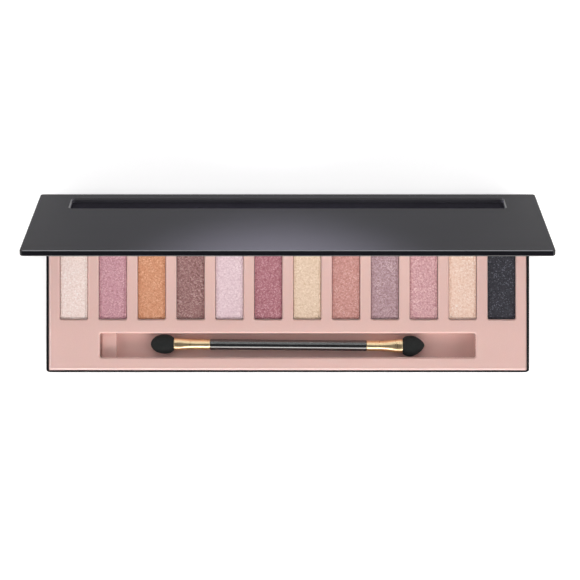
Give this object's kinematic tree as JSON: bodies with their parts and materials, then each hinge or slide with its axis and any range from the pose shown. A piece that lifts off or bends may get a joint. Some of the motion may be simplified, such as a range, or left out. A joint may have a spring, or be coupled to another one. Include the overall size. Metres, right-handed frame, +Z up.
{
  "type": "eyeshadow palette",
  "caption": "Slim hinged makeup palette with a row of long pressed powder pans, a slot holding a double-ended sponge applicator, and a mirror inside its flat lid.",
  "frame": {"origin": "centre of the base's flat underside", "axes": "+X along the row of shades, from left to right as used; +Y back to the hinge; +Z up out of the pans"},
  "size_m": [0.195, 0.0703, 0.0719],
  "materials": {
    "black_plastic": "polished injection-moulded black plastic",
    "pink_plastic": "satin injection-moulded dusty pink plastic",
    "pan_metal": "pressed bare aluminium",
    "shade_01": "pressed powder with fine shimmer, ivory",
    "shade_02": "pressed powder with fine shimmer, mauve pink",
    "shade_03": "pressed powder with fine shimmer, copper orange",
    "shade_04": "pressed powder with fine shimmer, taupe brown",
    "shade_05": "pressed powder with fine shimmer, pale lilac pink",
    "shade_06": "pressed powder with fine shimmer, deep rose",
    "shade_07": "pressed powder with fine shimmer, pale gold beige",
    "shade_08": "pressed powder with fine shimmer, salmon brown",
    "shade_09": "pressed powder with fine shimmer, grey mauve",
    "shade_10": "pressed powder with fine shimmer, shimmer pink",
    "shade_11": "pressed powder with fine shimmer, peach",
    "shade_12": "pressed powder with fine shimmer, charcoal",
    "steel": "drawn steel pin",
    "nickel": "nickel plated",
    "mirror": "silvered glass",
    "foam_tape": "double-sided foam tape",
    "black_lacquer": "gloss black lacquered rod",
    "gold_metal": "bright gold anodised",
    "core_plastic": "moulded white plastic",
    "black_foam": "fine-celled black latex foam"
  },
  "bodies": {
    "base": {"base_shell": "black_plastic", "pan_tray": "pink_plastic", "pan_01": "pan_metal", "pan_02": "pan_metal", "pan_03": "pan_metal", "pan_04": "pan_metal", "pan_05": "pan_metal", "pan_06": "pan_metal", "pan_07": "pan_metal", "pan_08": "pan_metal", "pan_09": "pan_metal", "pan_10": "pan_metal", "pan_11": "pan_metal", "pan_12": "pan_metal", "shadow_01": "shade_01", "shadow_02": "shade_02", "shadow_03": "shade_03", "shadow_04": "shade_04", "shadow_05": "shade_05", "shadow_06": "shade_06", "shadow_07": "shade_07", "shadow_08": "shade_08", "shadow_09": "shade_09", "shadow_10": "shade_10", "shadow_11": "shade_11", "shadow_12": "shade_12", "hinge_pin_left": "steel", "hinge_pin_right": "steel", "base_magnet_left": "nickel", "base_magnet_right": "nickel"},
    "lid": {"lid_shell": "black_plastic", "mirror": "mirror", "mirror_adhesive": "foam_tape", "lid_disc_left": "nickel", "lid_disc_right": "nickel"},
    "applicator": {"applicator_handle": "black_lacquer", "ferrule_left": "gold_metal", "ferrule_right": "gold_metal", "sponge_core_left": "core_plastic", "sponge_core_right": "core_plastic", "sponge_left": "black_foam", "sponge_right": "black_foam"}
  },
  "joints": [
    {"name": "lid_hinge", "type": "hinge", "parent": "base", "child": "lid", "pos_m": [0, 0.03095, 0.0073], "axis": [-1, 0, 0], "range_deg": [-69.8, 42]},
    {"name": "applicator_lift", "type": "slide", "parent": "base", "child": "applicator", "axis": [0, 0, 1], "range_m": [0, 0.04]}
  ]
}
